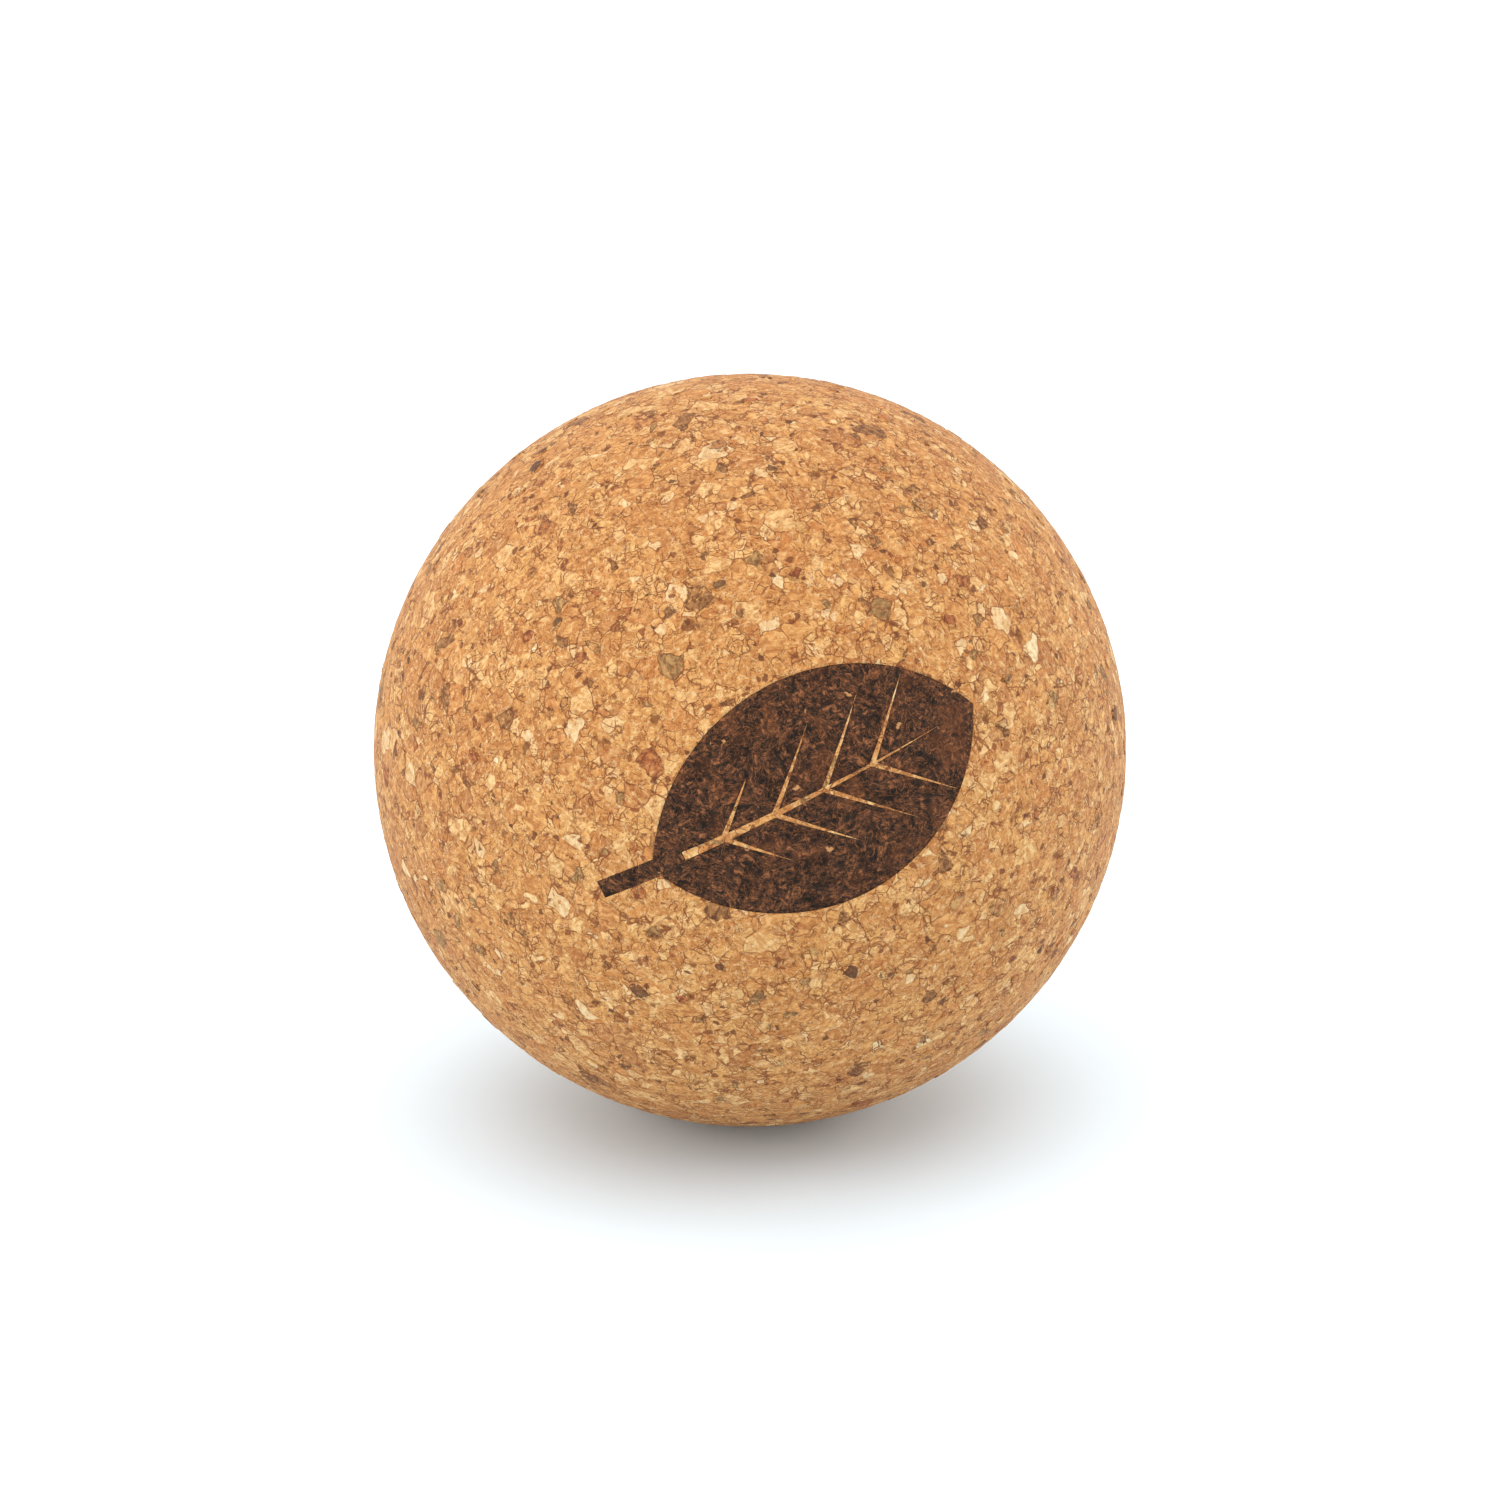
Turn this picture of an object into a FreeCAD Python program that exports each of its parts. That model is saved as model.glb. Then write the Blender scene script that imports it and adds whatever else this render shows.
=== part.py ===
import FreeCAD, Part

import math
import os
import random

import Sketcher

# A solid massage ball of pressed cork, turned and sanded, with an emblem burnt into one side.
# Frame: millimetres, +Z up, origin at the centre of the ball. The emblem faces -Y and a little upwards.

# ---------------------------------------------------------------------------------------------
# Driving sizes, in millimetres and degrees
# ---------------------------------------------------------------------------------------------

SIZES = [
    ("ball_diameter", 65.0, "outside diameter of the ball"),
    ("mark_rise", 12.0, "angle that the emblem faces upwards"),
    ("mark_tilt", 24.0, "angle that the leaf leans, tip upwards"),
    ("leaf_length", 29.0, "length of the leaf's blade, base to tip"),
    ("leaf_width", 18.5, "width of the blade at its middle"),
    ("stem_length", 4.2, "length of the stem outside the blade"),
    ("stem_width", 1.5, "width of the stem"),
    ("midrib_width", 0.7, "width of the unburnt midrib at the stem end"),
    ("midrib_start", 2.6, "burnt length between the base of the blade and the midrib"),
    ("midrib_end", 3.6, "burnt length between the midrib and the tip of the blade"),
    ("vein_width", 0.6, "width of a pair of unburnt side veins at the midrib, along it"),
    ("vein_start", 5.6, "distance from the base of the blade to the first side veins"),
    ("vein_end", 10.2, "distance from the last side veins to the tip of the blade"),
    ("vein_angle", 42.0, "angle between a side vein and the midrib"),
    ("vein_reach", 0.62, "reach of a side vein, as a share of the way to the edge"),
    ("vein_pairs", 4, "number of pairs of side veins"),
    ("mark_recess", 0.08, "depth of the charred face below the ball's surface"),
    ("char_depth", 0.35, "thickness of the charred skin"),
    ("granule_depth", 0.9, "depth that a coarse granule reaches into the ball"),
    ("granule_gap", 0.35, "least cork between two coarse granules"),
    ("mark_margin", 0.8, "least cork between a coarse granule and the emblem"),
    ("bark_size", 1.9, "mean length of a dark bark granule"),
    ("bark_count", 110, "number of dark bark granules"),
    ("grey_size", 1.8, "mean length of a grey bark granule"),
    ("grey_count", 80, "number of grey bark granules"),
    ("red_size", 1.5, "mean length of a red-brown granule"),
    ("red_count", 50, "number of red-brown granules"),
    ("pale_size", 1.7, "mean length of a pale granule"),
    ("pale_count", 90, "number of pale granules"),
]

# How one granule differs from the next
GRANULE_SEED = 41
LEAST_CORNERS = 5
MOST_CORNERS = 7
LENGTH_SPREAD = 0.35  # a granule is up to this share longer or shorter than the mean
SLIMMEST = 0.55  # width over length of the slimmest granule
BURIED_SHARE = 0.62  # a granule narrows to this share of its surface size at its buried end
CORNER_SPREAD = 0.26  # how far a corner may stand inside the granule's ellipse, as a share
CORNER_SHIFT = 0.25  # how far a corner may move round the granule, as a share of the corners' spacing

doc = FreeCAD.newDocument("cork_massage_ball")
sheet = doc.addObject("Spreadsheet::Sheet", "sizes")
for row, (alias, value, meaning) in enumerate(SIZES, start=1):
    sheet.set("A%d" % row, meaning)
    sheet.set("B%d" % row, str(value))
    sheet.setAlias("B%d" % row, alias)
doc.recompute()


def size(alias):
    """The value of one named size, as a plain number."""
    return float(getattr(sheet, alias))


# ---------------------------------------------------------------------------------------------
# Helpers
# ---------------------------------------------------------------------------------------------


def sphere(name, radius):
    """A full sphere about the origin; its radius is an expression on the sheet."""
    result = doc.addObject("Part::Sphere", name)
    result.setExpression("Radius", radius)
    return result


def boolean(kind, name, base, tool):
    """A Part::Cut or Part::Common of two objects."""
    result = doc.addObject(kind, name)
    result.Base = base
    result.Tool = tool
    return result


def leaf_sketch(body, name):
    """A sketch in the body's XZ plane, leaning as the leaf does; +X runs from base to tip."""
    sketch = body.newObject("Sketcher::SketchObject", name)
    plane = next(item for item in body.Origin.OriginFeatures if item.Role == "XZ_Plane")
    sketch.AttachmentSupport = [(plane, "")]
    sketch.MapMode = "FlatFace"
    sketch.setExpression("AttachmentOffset.Rotation.Angle", "sizes.mark_tilt")
    return sketch


def bind(sketch, constraint, expression):
    """Adds one dimension to a sketch and ties it to the sheet."""
    index = sketch.addConstraint(constraint)
    sketch.setExpression("Constraints[%d]" % index, expression)


def outline(sketch, corners):
    """A closed outline of straight edges; each corner is a pair of expressions on the sheet."""
    points = []
    for across, up in corners:
        points.append(FreeCAD.Vector(sketch.evalExpression(across), sketch.evalExpression(up), 0))
    edges = []
    for start, end in zip(points, points[1:] + points[:1]):
        edges.append(sketch.addGeometry(Part.LineSegment(start, end), False))
    for edge, following in zip(edges, edges[1:] + edges[:1]):
        sketch.addConstraint(Sketcher.Constraint("Coincident", edge, 2, following, 1))
    for edge, point, (across, up) in zip(edges, points, corners):
        bind(sketch, Sketcher.Constraint("DistanceX", edge, 1, point.x), across)
        if up == "0":
            sketch.addConstraint(Sketcher.Constraint("PointOnObject", edge, 1, -1))
        else:
            bind(sketch, Sketcher.Constraint("DistanceY", edge, 1, point.y), up)


def front_feature(body, kind, name, sketch):
    """A Pad or Pocket from the ball's centre out past its face on the -Y side.

    Both have to run the same way, and a Pocket's own way is the opposite of a Pad's.
    """
    doc.recompute()
    before = 0 if body.Shape.isNull() else body.Shape.Volume
    feature = body.newObject(kind, name)
    feature.Profile = sketch
    feature.Reversed = kind == "PartDesign::Pocket"
    feature.setExpression("Length", "sizes.ball_diameter")
    doc.recompute()
    grown = body.Shape.Volume > before
    if body.Shape.Volume == before or grown != (kind == "PartDesign::Pad"):
        raise RuntimeError("%s did not change the emblem as it should" % name)


# ---------------------------------------------------------------------------------------------
# The emblem: a plain leaf, as a straight bar from the ball's centre out through its face
# ---------------------------------------------------------------------------------------------

emblem = doc.addObject("PartDesign::Body", "emblem_bar")
emblem.Placement = FreeCAD.Placement(FreeCAD.Vector(), FreeCAD.Rotation(FreeCAD.Vector(-1, 0, 0), 0))
emblem.setExpression("Placement.Rotation.Angle", "sizes.mark_rise")

# The blade is two equal arcs that meet at the base and the tip.
ARC_RADIUS = "(sizes.leaf_length^2 + sizes.leaf_width^2) / (4 * sizes.leaf_width)"
blade_sketch = leaf_sketch(emblem, "blade_outline")
arc_radius = blade_sketch.evalExpression(ARC_RADIUS)
arc_centre = arc_radius - size("leaf_width") / 2
half_angle = math.asin(size("leaf_length") / 2 / arc_radius)
for side in (1, -1):
    middle = side * math.pi / 2
    circle = Part.Circle(FreeCAD.Vector(0, -side * arc_centre, 0), FreeCAD.Vector(0, 0, 1), arc_radius)
    arc = Part.ArcOfCircle(circle, middle - half_angle, middle + half_angle)
    edge = blade_sketch.addGeometry(arc, False)
    bind(blade_sketch, Sketcher.Constraint("Radius", edge, arc_radius), ARC_RADIUS)
UPPER, LOWER = 0, 1
blade_sketch.addConstraint(Sketcher.Constraint("Coincident", UPPER, 1, LOWER, 2))
blade_sketch.addConstraint(Sketcher.Constraint("Coincident", UPPER, 2, LOWER, 1))
blade_sketch.addConstraint(Sketcher.Constraint("Symmetric", UPPER, 1, UPPER, 2, -1, 1))
blade_sketch.addConstraint(Sketcher.Constraint("PointOnObject", UPPER, 1, -1))
tip_distance = Sketcher.Constraint("DistanceX", UPPER, 1, size("leaf_length") / 2)
bind(blade_sketch, tip_distance, "sizes.leaf_length / 2")
front_feature(emblem, "PartDesign::Pad", "blade", blade_sketch)

# The stem overlaps the blade's pointed base by its own width, so that the two join.
stem_sketch = leaf_sketch(emblem, "stem_outline")
STEM_FREE_END = "-sizes.leaf_length / 2 - sizes.stem_length"
STEM_ROOT = "-sizes.leaf_length / 2 + sizes.stem_width"
outline(stem_sketch, [
    (STEM_FREE_END, "-sizes.stem_width / 2"),
    (STEM_ROOT, "-sizes.stem_width / 2"),
    (STEM_ROOT, "sizes.stem_width / 2"),
    (STEM_FREE_END, "sizes.stem_width / 2"),
])
front_feature(emblem, "PartDesign::Pad", "stem", stem_sketch)

# The midrib and the side veins are lines of unburnt cork, so they are cut out of the bar.
midrib_sketch = leaf_sketch(emblem, "midrib_outline")
MIDRIB_ROOT = "-sizes.leaf_length / 2 + sizes.midrib_start"
outline(midrib_sketch, [
    (MIDRIB_ROOT, "-sizes.midrib_width / 2"),
    ("sizes.leaf_length / 2 - sizes.midrib_end", "0"),
    (MIDRIB_ROOT, "sizes.midrib_width / 2"),
])
front_feature(emblem, "PartDesign::Pocket", "midrib", midrib_sketch)

# A pair of side veins is one arrowhead about the midrib, with arms that taper to nothing.
veins_sketch = leaf_sketch(emblem, "veins_outline")
VEIN_PITCH = "(sizes.leaf_length - sizes.vein_start - sizes.vein_end) / (sizes.vein_pairs - 1)"
for pair in range(int(size("vein_pairs"))):
    root = "(-sizes.leaf_length / 2 + sizes.vein_start + %d * %s)" % (pair, VEIN_PITCH)
    to_edge = "(sqrt((%s)^2 - %s^2) - (%s - sizes.leaf_width / 2))" % (ARC_RADIUS, root, ARC_RADIUS)
    rise = "(sizes.vein_reach * %s)" % to_edge
    end = "%s + %s / tan(sizes.vein_angle * 1deg)" % (root, rise)
    outline(veins_sketch, [
        (root, "0"),
        (end, "-%s" % rise),
        ("%s + sizes.vein_width" % root, "0"),
        (end, rise),
    ])
front_feature(emblem, "PartDesign::Pocket", "veins", veins_sketch)

# ---------------------------------------------------------------------------------------------
# The charred skin, and the shallow recess that it lies in
# ---------------------------------------------------------------------------------------------

full_ball = sphere("full_ball", "sizes.ball_diameter / 2")
char_face = sphere("char_face", "sizes.ball_diameter / 2 - sizes.mark_recess")
char_floor = sphere("char_floor", "sizes.ball_diameter / 2 - sizes.mark_recess - sizes.char_depth")
mark_recess = boolean("Part::Cut", "mark_recess_tool", emblem, char_floor)
burnt_mark = boolean("Part::Common", "burnt_mark", mark_recess, char_face)

# ---------------------------------------------------------------------------------------------
# Coarse granules: uneven blocks that narrow inwards, each cut flush by the ball's surface
# ---------------------------------------------------------------------------------------------

chance = random.Random(GRANULE_SEED)
taken = []  # direction and half-length of each granule placed so far


def ring(corners, scale, height):
    """A granule's outline at one height, as points."""
    return [FreeCAD.Vector(x * scale, y * scale, height) for x, y in corners]


def block(direction, length, width):
    """One uneven block set into the ball: its own size at the surface, narrower at its buried end."""
    facing = FreeCAD.Rotation(FreeCAD.Vector(0, 0, 1), direction)
    turn = FreeCAD.Rotation(FreeCAD.Vector(0, 0, 1), chance.uniform(0, 360))
    pose = FreeCAD.Placement(FreeCAD.Vector(), facing.multiply(turn))
    corner_count = chance.randint(LEAST_CORNERS, MOST_CORNERS)
    corners = []
    for corner in range(corner_count):
        angle = 2 * math.pi * (corner + chance.uniform(-CORNER_SHIFT, CORNER_SHIFT)) / corner_count
        reach = 1 - chance.uniform(0, CORNER_SPREAD)
        corners.append((length / 2 * reach * math.cos(angle), width / 2 * reach * math.sin(angle)))
    surface = size("ball_diameter") / 2
    proud = size("granule_gap") / 2
    proud_share = 1 + (1 - BURIED_SHARE) * proud / size("granule_depth")
    top = ring(corners, proud_share, surface + proud)
    buried = ring(corners, BURIED_SHARE, surface - size("granule_depth"))
    faces = [Part.Face(Part.makePolygon(end + end[:1])) for end in (top, buried)]
    for one in range(corner_count):
        two = (one + 1) % corner_count
        wall = [top[one], top[two], buried[two], buried[one], top[one]]
        faces.append(Part.Face(Part.makePolygon(wall)))
    solid = Part.Solid(Part.Shell(faces))
    if solid.Volume < 0:
        solid.reverse()
    solid.Placement = pose
    return solid


def clear_of_mark(direction, half_length):
    """True where a granule stands outside the emblem, taken as the ellipse about its blade and stem."""
    if direction.y > 0:
        return True
    flat = emblem.Placement.inverse().multVec(direction) * (size("ball_diameter") / 2)
    lean = math.radians(size("mark_tilt"))
    along = flat.x * math.cos(lean) + flat.z * math.sin(lean)
    across = flat.z * math.cos(lean) - flat.x * math.sin(lean)
    room = size("mark_margin") + half_length
    half_ellipse = (size("leaf_length") + size("stem_length")) / 2 + room
    blade_zone = (along + size("stem_length") / 2) / half_ellipse
    side_zone = across / (size("leaf_width") / 2 + room)
    return math.hypot(blade_zone, side_zone) > 1


def clear_of_others(direction, half_length):
    """True where a granule keeps its gap to every one placed before."""
    for other, other_half in taken:
        apart = direction.getAngle(other) * size("ball_diameter") / 2
        if apart < half_length + other_half + size("granule_gap"):
            return False
    return True


def granules(kind):
    """All coarse granules of one kind: a compound of blocks, cut flush by the ball."""
    blocks = []
    while len(blocks) < int(size(kind + "_count")):
        length = size(kind + "_size") * chance.uniform(1 - LENGTH_SPREAD, 1 + LENGTH_SPREAD)
        width = length * chance.uniform(SLIMMEST, 1)
        height = chance.uniform(-1, 1)
        around = chance.uniform(0, 2 * math.pi)
        girth = math.sqrt(1 - height * height)
        direction = FreeCAD.Vector(girth * math.cos(around), girth * math.sin(around), height)
        if clear_of_mark(direction, length / 2) and clear_of_others(direction, length / 2):
            blocks.append(block(direction, length, width))
            taken.append((direction, length / 2))
    blanks = doc.addObject("Part::Feature", kind + "_blocks")
    blanks.Shape = Part.makeCompound(blocks)
    return blanks


doc.recompute()
blocks_of = {kind: granules(kind) for kind in ("bark", "grey", "red", "pale")}
granule_nodes = []
for kind, blanks in blocks_of.items():
    granule_nodes.append(boolean("Part::Common", kind + "_granules", blanks, full_ball))

# ---------------------------------------------------------------------------------------------
# The ball: a sphere with the emblem's recess and a socket for each coarse granule
# ---------------------------------------------------------------------------------------------

sockets = doc.addObject("Part::Compound", "socket_tools")
sockets.Links = [mark_recess] + list(blocks_of.values())
cork_ball = boolean("Part::Cut", "cork_ball", full_ball, sockets)

# ---------------------------------------------------------------------------------------------
# Checks and files
# ---------------------------------------------------------------------------------------------

doc.recompute()
for item in doc.Objects:
    if "Invalid" in item.State or "Error" in item.State:
        raise RuntimeError("%s did not recompute: %s" % (item.Name, item.State))

os.makedirs("parts", exist_ok=True)
for node in [cork_ball, burnt_mark] + granule_nodes:
    shape = node.Shape
    if shape.isNull() or not shape.isValid():
        raise RuntimeError("%s has no valid shape" % node.Label)
    shape.exportStep("parts/%s.step" % node.Label)
    print("%-20s %3d solids, %10.2f mm3" % (node.Label, len(shape.Solids), shape.Volume))
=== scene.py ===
# %% [markdown]
# # A massage ball of pressed cork
# The real ball is one solid piece. Cork bark is ground into granules, mixed with a little glue, pressed
# into a block, turned to a ball on a lathe and sanded. An emblem is then burnt into one side.
# So nearly everything that the eye reads as "cork" is the cut face of thousands of granules. This lesson
# builds that face twice from the same pattern: once as real relief in the mesh, and once as colour.

# %% Load the frame
import bpy
import math
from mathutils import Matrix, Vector


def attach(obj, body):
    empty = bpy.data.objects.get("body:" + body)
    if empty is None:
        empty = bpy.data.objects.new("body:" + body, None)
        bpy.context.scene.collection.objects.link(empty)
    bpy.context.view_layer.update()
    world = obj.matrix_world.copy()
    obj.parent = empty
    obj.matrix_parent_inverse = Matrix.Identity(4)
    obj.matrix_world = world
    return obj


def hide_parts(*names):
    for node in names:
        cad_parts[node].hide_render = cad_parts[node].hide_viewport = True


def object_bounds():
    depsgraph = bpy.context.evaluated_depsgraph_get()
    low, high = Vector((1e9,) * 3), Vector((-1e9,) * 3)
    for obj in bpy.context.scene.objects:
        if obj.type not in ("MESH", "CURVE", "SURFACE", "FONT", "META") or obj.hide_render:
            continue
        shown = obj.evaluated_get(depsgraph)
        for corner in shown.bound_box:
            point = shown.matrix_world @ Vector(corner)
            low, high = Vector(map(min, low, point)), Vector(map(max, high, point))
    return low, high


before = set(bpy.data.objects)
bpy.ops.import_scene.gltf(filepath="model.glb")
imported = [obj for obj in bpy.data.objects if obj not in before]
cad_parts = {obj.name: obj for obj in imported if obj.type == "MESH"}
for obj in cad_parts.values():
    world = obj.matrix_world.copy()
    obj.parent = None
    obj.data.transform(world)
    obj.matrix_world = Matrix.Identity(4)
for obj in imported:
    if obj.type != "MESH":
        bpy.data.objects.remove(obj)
cad_low, cad_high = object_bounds()
BALL_RADIUS = (cad_high[2] - cad_low[2]) / 2
print("ball radius, mm:", round(BALL_RADIUS * 1000, 2))

# %% [markdown]
# ## Units and small helpers
# Blender works in metres, but cork is easier to think about in millimetres, so patterns are written in
# millimetres and shapes are given through MM. Operators act on whatever is selected, and the frame
# arrives selected, so every step starts by selecting only its own piece.

# %% Helpers for pieces
MM = 0.001


def pick(piece):
    """Selects one piece alone and makes it active."""
    if bpy.context.object and bpy.context.object.mode != "OBJECT":
        bpy.ops.object.mode_set(mode="OBJECT")
    bpy.ops.object.select_all(action="DESELECT")
    piece.select_set(True)
    bpy.context.view_layer.objects.active = piece


def apply_modifier(piece, kind, **settings):
    """Adds one modifier to a piece and applies it at once."""
    pick(piece)
    modifier = piece.modifiers.new(kind.title(), kind)
    for name, value in settings.items():
        setattr(modifier, name, value)
    bpy.ops.object.modifier_apply(modifier=modifier.name)


def copy_of_node(node_name, piece_name):
    """A new piece whose mesh is a merged copy of a CAD node's mesh."""
    piece = bpy.data.objects.new(piece_name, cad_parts[node_name].data.copy())
    bpy.context.scene.collection.objects.link(piece)
    piece.data.materials.clear()
    pick(piece)
    bpy.ops.object.mode_set(mode="EDIT")
    bpy.ops.mesh.select_all(action="SELECT")
    bpy.ops.mesh.remove_doubles(threshold=0.0005 * MM)
    bpy.ops.object.mode_set(mode="OBJECT")
    return piece


def report(piece):
    """Prints how many faces and triangles a piece has."""
    piece.data.calc_loop_triangles()
    print(piece.name, "faces:", len(piece.data.polygons), "triangles:", len(piece.data.loop_triangles))


# %% [markdown]
# ## Helpers for patterns
# A pattern is a small network of nodes. The same functions write it into a material, where it gives
# colour, and into a geometry-nodes group, where it moves the mesh. So a granule that is darker is also
# the granule whose edge is sunk.

# %% Helpers for nodes


def node(tree, kind, inputs=None, **settings):
    """Adds a node. An input that is given a socket is linked to it, and any other value is set."""
    made = tree.nodes.new(kind)
    for name, value in settings.items():
        setattr(made, name, value)
    for name, value in (inputs or {}).items():
        if isinstance(value, bpy.types.NodeSocket):
            tree.links.new(value, made.inputs[name])
        else:
            made.inputs[name].default_value = value
    return made


def calc(tree, operation, first, second=0.0):
    """One sum on two numbers."""
    return node(tree, "ShaderNodeMath", {0: first, 1: second}, operation=operation).outputs[0]


def vector_sum(tree, operation, first, second=(0, 0, 0)):
    """One sum on two vectors."""
    return node(tree, "ShaderNodeVectorMath", {0: first, 1: second}, operation=operation).outputs[0]


def scaled(tree, vector, factor):
    """A vector times a number."""
    made = node(tree, "ShaderNodeVectorMath", {0: vector, "Scale": factor}, operation="SCALE")
    return made.outputs[0]


def split(tree, colour):
    """The three numbers in a colour."""
    return node(tree, "ShaderNodeSeparateXYZ", {0: colour}).outputs


def blend(tree, factor, first, second):
    """A mix of two colours."""
    made = node(tree, "ShaderNodeMix", {0: factor, 6: first, 7: second}, data_type="RGBA")
    return made.outputs[2]


def span(tree, value, start, end):
    """0 at start, 1 at end, and even between them; start may be the larger."""
    ends = {"Value": value, "From Min": start, "From Max": end}
    return node(tree, "ShaderNodeMapRange", ends).outputs["Result"]


def between(tree, value, low, high):
    """1 where a number lies between two others, and 0 elsewhere."""
    above = calc(tree, "GREATER_THAN", value, low)
    return calc(tree, "MULTIPLY", above, calc(tree, "LESS_THAN", value, high))


# %% Helpers for noise, cells and colours


def noise(tree, place, scale, detail=2.0, roughness=0.5, distortion=0.0, output="Fac"):
    """Cloudy noise; scale is in cycles per millimetre."""
    settings = {"Vector": place, "Scale": scale, "Detail": detail, "Roughness": roughness}
    settings["Distortion"] = distortion
    return node(tree, "ShaderNodeTexNoise", settings).outputs[output]


def wandering(tree, place, scale, reach, detail=1.0):
    """A place pushed about by noise, up to about reach millimetres each way."""
    push = noise(tree, place, scale, detail, output="Color")
    centred = vector_sum(tree, "SUBTRACT", push, (0.5, 0.5, 0.5))
    return vector_sum(tree, "ADD", place, scaled(tree, centred, reach * 2))


def cells(tree, place, size, offset):
    """Cells of a given size: a random colour for each, and the distance to the nearest edge in mm."""
    moved = vector_sum(tree, "ADD", place, offset)
    settings = {"Vector": moved, "Scale": 1 / size}
    chance = node(tree, "ShaderNodeTexVoronoi", settings).outputs["Color"]
    edges = node(tree, "ShaderNodeTexVoronoi", settings, feature="DISTANCE_TO_EDGE")
    return chance, calc(tree, "MULTIPLY", edges.outputs["Distance"], size)


def ramp(tree, value, stops):
    """A colour that runs through the stops as a number goes from 0 to 1."""
    made = node(tree, "ShaderNodeValToRGB", {"Fac": value})
    elements = made.color_ramp.elements
    while len(elements) < len(stops):
        elements.new(1.0)
    for element, (place, colour) in zip(elements, stops):
        element.position = place
        element.color = colour
    return made.outputs["Color"]


def paint(red, green, blue):
    """A colour as it is picked on a screen, 0 to 255, turned into the numbers that a node needs."""
    linear = []
    for value in (red / 255, green / 255, blue / 255):
        power = ((value + 0.055) / 1.055) ** 2.4 if value > 0.04 else value / 12.92
        linear.append(power)
    return (*linear, 1.0)


# %% [markdown]
# ## The granule pattern
# Ground cork is sieved to about 1 to 3 mm, and sanding cuts each granule somewhere across its middle, so
# the cut faces measure about 0.7 to 2 mm. Two sets of Voronoi cells give both sizes: a coarse cell is
# kept when its own random number is low, and the fine cells fill the rest. Noise makes the edges ragged.

# %% The granule pattern
COARSE_CELL = 1.9  # mm
FINE_CELL = 1.0  # mm
COARSE_SHARE = 0.40
PIT_CELL = 0.9  # mm
PIT_SHARE = 0.012
print("granule cells, mm:", COARSE_CELL, "and", FINE_CELL, "coarse share:", COARSE_SHARE)


def granule_cells(tree, place):
    """A random colour for each granule, and the distance to its edge in mm."""
    ragged = wandering(tree, place, 0.8, 0.42)
    ragged = wandering(tree, ragged, 3.4, 0.11, 2.0)
    coarse, coarse_edge = cells(tree, ragged, COARSE_CELL, (7.3, 3.1, 5.7))
    fine, fine_edge = cells(tree, ragged, FINE_CELL, (14.6, 6.2, 11.4))
    is_coarse = calc(tree, "LESS_THAN", split(tree, coarse)[0], COARSE_SHARE)
    chance = blend(tree, is_coarse, fine, coarse)
    edge = calc(tree, "MINIMUM", coarse_edge, calc(tree, "ADD", fine_edge, is_coarse))
    return chance, edge


def pits(tree, place):
    """1 in the few small holes where a granule has torn out, 0 elsewhere."""
    chance, edge = cells(tree, wandering(tree, place, 2.0, 0.2), PIT_CELL, (3.3, 21.0, 9.2))
    torn = calc(tree, "LESS_THAN", split(tree, chance)[1], PIT_SHARE)
    return calc(tree, "MULTIPLY", torn, span(tree, edge, 0.03, 0.16))


# %% [markdown]
# ## Turning the ball
# A sphere made of rings and segments bunches its faces at two poles, and relief would look pinched
# there. A cube that is subdivided and cast to a sphere has even faces all over, so it is used instead.

# %% A smooth ball
SMOOTHING_LEVELS = 7


def round_blank(name, radius):
    """A cube, subdivided evenly and cast to a sphere."""
    bpy.ops.object.select_all(action="DESELECT")
    bpy.ops.mesh.primitive_cube_add(size=2 * radius)
    blank = bpy.context.object
    blank.name = name
    levels = {"levels": SMOOTHING_LEVELS, "render_levels": SMOOTHING_LEVELS}
    apply_modifier(blank, "SUBSURF", **levels)
    apply_modifier(blank, "CAST", factor=1.0, radius=radius, size=radius)
    pick(blank)
    bpy.ops.object.shade_smooth()
    return blank


cork = round_blank("cork_surface", BALL_RADIUS)
report(cork)

# %% [markdown]
# ## Relief by geometry nodes
# A geometry-nodes group moves each vertex along the line from the ball's centre. For the cork, each
# granule stands a hair higher or lower than its neighbours, the seams between them are sunk, a few
# granules have torn out, and the surface dips under each coarse granule so that it seems set in.

# %% Node groups that move vertices


def shape_group(name):
    """An empty geometry-nodes group with its input and output, and each vertex's place in mm."""
    tree = bpy.data.node_groups.new(name, "GeometryNodeTree")
    tree.interface.new_socket("Geometry", in_out="INPUT", socket_type="NodeSocketGeometry")
    tree.interface.new_socket("Geometry", in_out="OUTPUT", socket_type="NodeSocketGeometry")
    incoming = node(tree, "NodeGroupInput").outputs[0]
    position = node(tree, "GeometryNodeInputPosition").outputs[0]
    return tree, incoming, scaled(tree, position, 1 / MM)


def raise_by(tree, geometry, place, height):
    """Moves every vertex outwards by a height in mm and closes the group."""
    outward = vector_sum(tree, "NORMALIZE", place)
    offset = scaled(tree, outward, calc(tree, "MULTIPLY", height, MM))
    moved = node(tree, "GeometryNodeSetPosition", {"Geometry": geometry, "Offset": offset})
    node(tree, "NodeGroupOutput", {0: moved.outputs[0]})
    return tree


# %% Relief for the cork, in mm
CORK_LEVEL = -0.045  # mean height of the fine granules below the sanded ball
LEVEL_SPREAD = 0.05  # how much the granules' heights differ
SEAM_WIDTH = 0.22
SEAM_DEPTH = 0.035
FIBRE_HEIGHT = 0.06
PIT_DEPTH = 0.20
SOCKET_DEPTH = 0.05  # dip around a coarse granule
SOCKET_NEAR, SOCKET_FAR = 0.10, 0.34  # the dip is full at the first distance and gone at the second
COARSE_NODES = ("bark_granules", "grey_granules", "red_granules", "pale_granules")


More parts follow.
